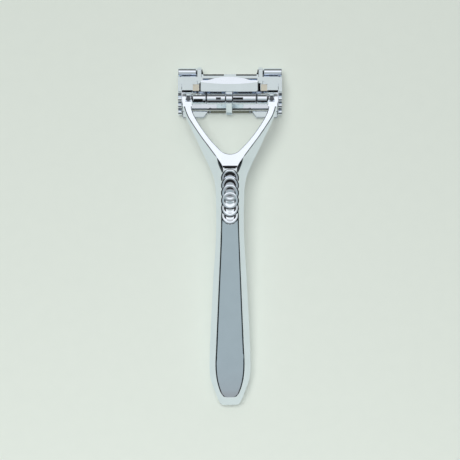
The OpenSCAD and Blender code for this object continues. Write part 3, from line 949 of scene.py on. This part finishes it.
def small_parts():
    finish(pin(-19.8, 19.8, PIVOT_Y, PIVOT_Z, 1), "ground_pivot_axle", "handle", "pin_steel", ["pivot_axle"])
    washers = [revolve(ring_loop(*x, 1.02, 2.1), PIVOT_Y, PIVOT_Z) for x in ((-10.28, -9.98), (11.18, 11.58))]
    finish(union(washers), "pressed_thrust_washers", "handle", "dark_steel", ["thrust_washers"])
    anchor = revolve(ring_loop(-16.05, -15.25, 1.02, 1.82), PIVOT_Y, PIVOT_Z)
    finish(anchor, "spring_anchor_ring", "handle", "pin_steel", ["spring_anchor"])
    spring(-15.2, -10.6, "wound_head_spring", "handle", "head_spring")
    spring(1.3, 5.9, "wound_latch_spring", "head", "latch_spring")
    magnets = [seat_magnet(k, x) for k in BLADES for x in MAGNET_X]
    finish(union(magnets), "plated_seat_magnets", "head", "magnet_nickel", ["seat_magnets"])
    for side, name in ((-1, "left"), (1, "right")):
        shaft = pin(*sorted((side * 11.7, side * 22.0)), HINGE_Y, HINGE_Z, 0.7)
        finish(shaft, f"chamfered_hinge_pin_{name}", "head", "pin_steel", [f"hinge_pin_{name}"])
    clips = both([revolve(ring_loop(11.8, 12.2, 0.7, 1.3), HINGE_Y, HINGE_Z)])
    finish(union(clips), "spring_hinge_clips", "head", "dark_steel", ["hinge_pin_clips"])


yoke_handle()
for number in BLADES:
    blade(number)
tray()
cap()
catch_bar()
rivets()
latch()
set_screws()
small_parts()


# ---- Stage, light and camera ----

def floor():
    mesh = bpy.data.meshes.new("floor")
    size = 2.5
    low = -0.05 * MM
    corners = [(-size, -size, low), (size, -size, low), (size, size, low), (-size, size, low)]
    mesh.from_pydata(corners, [], [(0, 1, 2, 3)])
    obj = bpy.data.objects.new("floor", mesh)
    bpy.context.scene.collection.objects.link(obj)
    material, tree, shader = new_material("pale_floor")
    shader.inputs["Roughness"].default_value = 0.9
    shader.inputs["Specular IOR Level"].default_value = 0.1
    noise = tree.nodes.new("ShaderNodeTexNoise")
    noise.inputs["Scale"].default_value = 900.0
    ramp = tree.nodes.new("ShaderNodeValToRGB")
    ramp.color_ramp.elements[0].color = (0.655, 0.705, 0.655, 1)
    ramp.color_ramp.elements[1].color = (0.675, 0.725, 0.672, 1)
    tree.links.new(noise.outputs["Fac"], ramp.inputs["Fac"])
    tree.links.new(ramp.outputs["Color"], shader.inputs["Base Color"])
    mesh.materials.append(material)


def studio():
    """Dark walls with paler corners, and a soft ceiling: bright towards +Y, grey towards -Y."""
    world = bpy.data.worlds.new("studio")
    bpy.context.scene.world = world
    world.use_nodes = True
    tree = world.node_tree
    nodes, links = tree.nodes, tree.links
    back = nodes["Background"]
    where = nodes.new("ShaderNodeTexCoord").outputs["Generated"]
    split = nodes.new("ShaderNodeSeparateXYZ")
    links.new(where, split.inputs["Vector"])

    def ramp(source, low, high, stops):
        fit = nodes.new("ShaderNodeMapRange")
        fit.inputs["From Min"].default_value = low
        fit.inputs["From Max"].default_value = high
        links.new(source, fit.inputs["Value"])
        node = nodes.new("ShaderNodeValToRGB")
        elements = node.color_ramp.elements
        while len(elements) < len(stops):
            elements.new(0.5)
        for element, (at, value) in zip(elements, stops):
            element.position = (at - low) / (high - low)
            colour = value if isinstance(value, tuple) else (value, value, value)
            element.color = (*colour, 1)
        links.new(fit.outputs["Result"], node.inputs["Fac"])
        return node.outputs["Color"]

    def blend(kind, factor, a, b):
        mix = nodes.new("ShaderNodeMix")
        mix.data_type = "RGBA"
        mix.blend_type = kind
        for name, value in (("Factor", factor), ("A", a), ("B", b)):
            if isinstance(value, (float, tuple)):
                mix.inputs[name].default_value = value
            else:
                links.new(value, mix.inputs[name])
        return mix.outputs["Result"]

    ceiling_y = ramp(split.outputs["Y"], -1, 1, [
        (-1, 0.02), (-0.991, 0.02), (-0.988, 1.0), (-0.970, 0.8), (-0.966, 0.02), (-0.68, 0.02),
        (-0.55, 0.36), (-0.3, (0.40, 0.46, 0.47)), (-0.14, (0.41, 0.48, 0.48)), (-0.02, 0.60),
        (0.02, (0.70, 0.735, 0.70)), (0.09, (0.70, 0.735, 0.70)), (0.18, 1.05), (0.5, 1.1),
        (0.58, 0.66), (0.88, 0.60), (0.91, 0.02), (1, 0.02),
    ])
    ceiling_x = ramp(split.outputs["X"], -1, 1, [
        (-1, 0.03), (-0.96, 0.16), (-0.9, 0.16), (-0.86, 0.03), (-0.5, 0.03), (-0.42, 1.0),
        (0.42, 1.0), (0.5, 0.03), (0.86, 0.03), (0.9, 0.16), (0.96, 0.16), (1, 0.03),
    ])
    ceiling = blend("MULTIPLY", 1.0, ceiling_y, ceiling_x)
    # Paler corners of the room, and a pale backdrop where the camera looks past the floor
    far_y = ramp(split.outputs["Y"], -1, 1, [(-0.74, 1), (-0.62, 0), (0.6, 0), (0.7, 1)])
    far_x = ramp(split.outputs["X"], -1, 1, [(-0.62, 1), (-0.52, 0), (0.52, 0), (0.62, 1)])
    corner = nodes.new("ShaderNodeMath")
    corner.operation = "MULTIPLY"
    links.new(far_y, corner.inputs[0])
    links.new(far_x, corner.inputs[1])
    room = blend("MIX", corner.outputs["Value"], ceiling, (0.55, 0.58, 0.58, 1.0))
    path = nodes.new("ShaderNodeLightPath")
    seen = blend("MIX", path.outputs["Is Camera Ray"], room, (0.60, 0.64, 0.60, 1.0))
    links.new(seen, back.inputs["Color"])


def lamp(name, at, aim, size, power, colour=(1, 1, 1)):
    data = bpy.data.lights.new(name, "AREA")
    data.shape = "DISK"
    data.size = size
    data.energy = power
    data.color = colour
    obj = bpy.data.objects.new(name, data)
    bpy.context.scene.collection.objects.link(obj)
    obj.location = at
    obj.rotation_euler = (Vector(aim) - Vector(at)).to_track_quat("-Z", "Y").to_euler()
    return obj


def camera():
    """Looks straight down, with view_mm filling the frame at the height of the razor's middle."""
    data = bpy.data.cameras.new("camera")
    obj = bpy.data.objects.new("camera", data)
    bpy.context.scene.collection.objects.link(obj)
    height, middle_z = 1.0, 0.009
    view_mm = 197.2
    sensor = 36
    data.sensor_width = sensor
    data.lens = sensor * (height - middle_z) / (view_mm * MM)
    obj.location = (0, 2.8 * MM, height)
    bpy.context.scene.camera = obj


floor()
studio()
lamp("key", (-0.4, 0.7, 2.1), (0, 0, 0), 1.3, 23.0, (1.0, 1.0, 0.98)).visible_glossy = False
fill = lamp("fill", (-0.05, -0.5, 0.55), (0, 0, 0), 0.4, 2.6)
fill.visible_glossy = False
fill.data.use_shadow = False
camera()
bpy.context.scene.view_settings.view_transform = "Standard"
